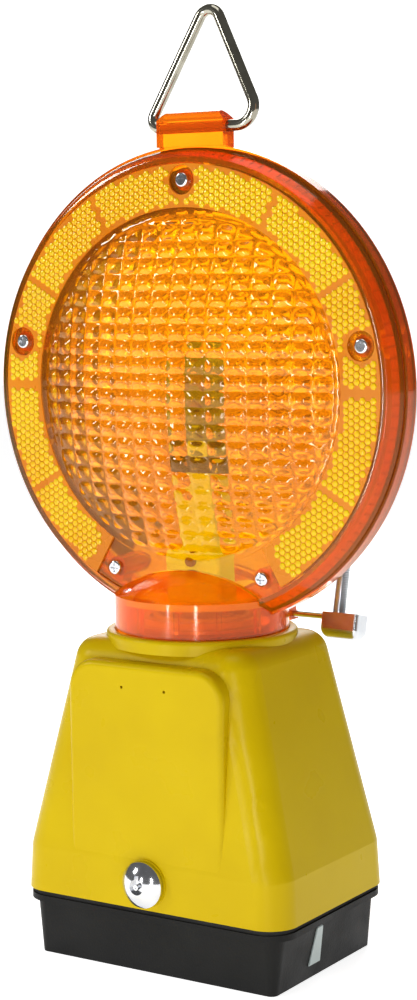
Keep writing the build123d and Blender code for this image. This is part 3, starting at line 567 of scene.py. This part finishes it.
def threaded_stud():
    """The clamp's M6 stud with a helical thread, along the CAD stud's own axis."""
    axis = Vector((0, sin(STUD_LEAN), cos(STUD_LEAN)))
    across = Vector((1, 0, 0))
    along = axis.cross(across)
    low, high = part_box("clamp_stud")
    stud_radius = (high.x - low.x) / 2
    tip_y = high.y - stud_radius * cos(STUD_LEAN)
    tip_z = high.z - stud_radius * sin(STUD_LEAN)
    foot = Vector(((high.x + low.x) / 2, tip_y, tip_z)) - axis * STUD_LENGTH
    steps = int(STUD_LENGTH / (THREAD_PITCH / THREAD_STEPS_PER_TURN))
    profile = [(0.0, 0.0)]
    profile += [(stud_radius, STUD_LENGTH * i / steps) for i in range(steps + 1)]
    profile += [(0.0, STUD_LENGTH)]

    def place(radius, height, angle):
        if radius > 0:
            phase = (height / THREAD_PITCH - angle / (2 * pi)) % 1.0
            full = min(1.0, height / THREAD_PITCH, (STUD_LENGTH - height) / THREAD_PITCH)
            radius -= THREAD_DEPTH * abs(2 * phase - 1) + (1 - full) * THREAD_END_BEVEL
            radius = min(radius, STUD_CORE_RADIUS) if height < STUD_SEATED else radius
        return tuple(foot + axis * height + across * (radius * cos(angle)) + along * (radius * sin(angle)))

    vertices, faces = lathe(profile, 24, place)
    stud = mesh_piece("threaded_stud", "clamp", "zinc_steel", vertices, faces, 50.0)
    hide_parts("clamp_stud")


threaded_stud()


# ---- stage, light and camera --------------------------------------------------------


def stage():
    """Pale round floor, a hair below the lamp."""
    count, radius, drop = 96, 4.0, 0.2 * MM
    angles = [2 * pi * i / count for i in range(count)]
    rim = [(radius * cos(angle), radius * sin(angle), -drop) for angle in angles]
    mesh = bpy.data.meshes.new("studio_floor")
    mesh.from_pydata(rim, [], [tuple(range(count))])
    floor_piece = bpy.data.objects.new("studio_floor", mesh)
    bpy.context.scene.collection.objects.link(floor_piece)
    paper = new_material(
        "studio_paper", (0.93, 0.93, 0.93), 0.9,
        Emission_Color=(1.0, 1.0, 1.0, 1.0), Emission_Strength=0.68,
    )
    tone = ramp(paper, noise(paper, 3.0), 0.3, 0.7, (0.92, 0.92, 0.92), (0.95, 0.95, 0.95))
    feed(paper, tone, "Base Color")
    mesh.materials.append(paper)


def area_light(name, location, target, size, power, color=(1.0, 1.0, 1.0)):
    """Rectangular light that faces the target; power in watts."""
    light = bpy.data.lights.new(name, "AREA")
    light.shape = "RECTANGLE"
    light.size, light.size_y = size
    light.energy = power
    light.color = color
    lamp = bpy.data.objects.new(name, light)
    lamp.location = location
    lamp.rotation_euler = (Vector(target) - Vector(location)).to_track_quat("-Z", "Y").to_euler()
    bpy.context.scene.collection.objects.link(lamp)


def studio():
    """Soft lights round the lamp; the two strips stand low, where upright walls mirror them."""
    middle = (0.0, 0.0, 0.2)
    area_light("key", (-1.15, -0.95, 0.85), middle, (0.22, 0.4), 4.6)
    area_light("strip", (0.34, -0.72, 0.16), middle, (0.05, 0.3), 0.9)
    area_light("side_strip", (-0.16, -0.82, 0.16), middle, (0.04, 0.3), 0.7)
    area_light("fill", (1.5, -0.3, 0.45), middle, (0.4, 0.8), 0.35, (1.0, 0.5, 0.25))
    area_light("top", (0.0, -0.2, 1.6), middle, (0.8, 0.8), 2.6)
    area_light("back", (-0.6, 1.0, 0.7), middle, (0.9, 0.9), 6.5)
    bpy.context.scene.world = studio_world()


def studio_world():
    """White surroundings, bright when seen directly or through clear plastic and dim as a light."""
    as_light, as_seen = 0.14, 1.05
    world = bpy.data.worlds.new("studio")
    world.use_nodes = True
    tree = world.node_tree
    background = tree.nodes["Background"]
    background.inputs["Color"].default_value = (1.0, 1.0, 1.0, 1.0)
    path = tree.nodes.new("ShaderNodeLightPath")
    seen = tree.nodes.new("ShaderNodeMath")
    seen.operation = "MAXIMUM"
    tree.links.new(path.outputs["Is Camera Ray"], seen.inputs[0])
    tree.links.new(path.outputs["Is Transmission Ray"], seen.inputs[1])
    strength = tree.nodes.new("ShaderNodeMapRange")
    strength.inputs["To Min"].default_value = as_light
    strength.inputs["To Max"].default_value = as_seen
    tree.links.new(seen.outputs["Value"], strength.inputs["Value"])
    tree.links.new(strength.outputs["Result"], background.inputs["Strength"])
    return world


def camera():
    """Camera at the photographed angle, from the front and the right, a little above."""
    turn, tilt, roll = radians(33.0), radians(6.46), radians(-0.67)
    location = (0.4666, -0.7128, 0.2804)
    back = Vector((sin(turn) * cos(tilt), -cos(turn) * cos(tilt), sin(tilt)))
    right = Vector((cos(turn), sin(turn), 0.0))
    up = back.cross(right)
    rolled_right = cos(roll) * right + sin(roll) * up
    rolled_up = cos(roll) * up - sin(roll) * right
    data = bpy.data.cameras.new("camera")
    data.sensor_width = 36.0
    data.lens = 77.24
    data.clip_start = 0.01
    view = bpy.data.objects.new("camera", data)
    rotation = Matrix((rolled_right, rolled_up, back)).transposed()
    view.matrix_world = Matrix.Translation(location) @ rotation.to_4x4()
    bpy.context.scene.collection.objects.link(view)
    bpy.context.scene.camera = view


stage()
studio()
camera()

bpy.context.scene.view_settings.view_transform = "Standard"
bpy.context.scene.view_settings.look = "Medium High Contrast"
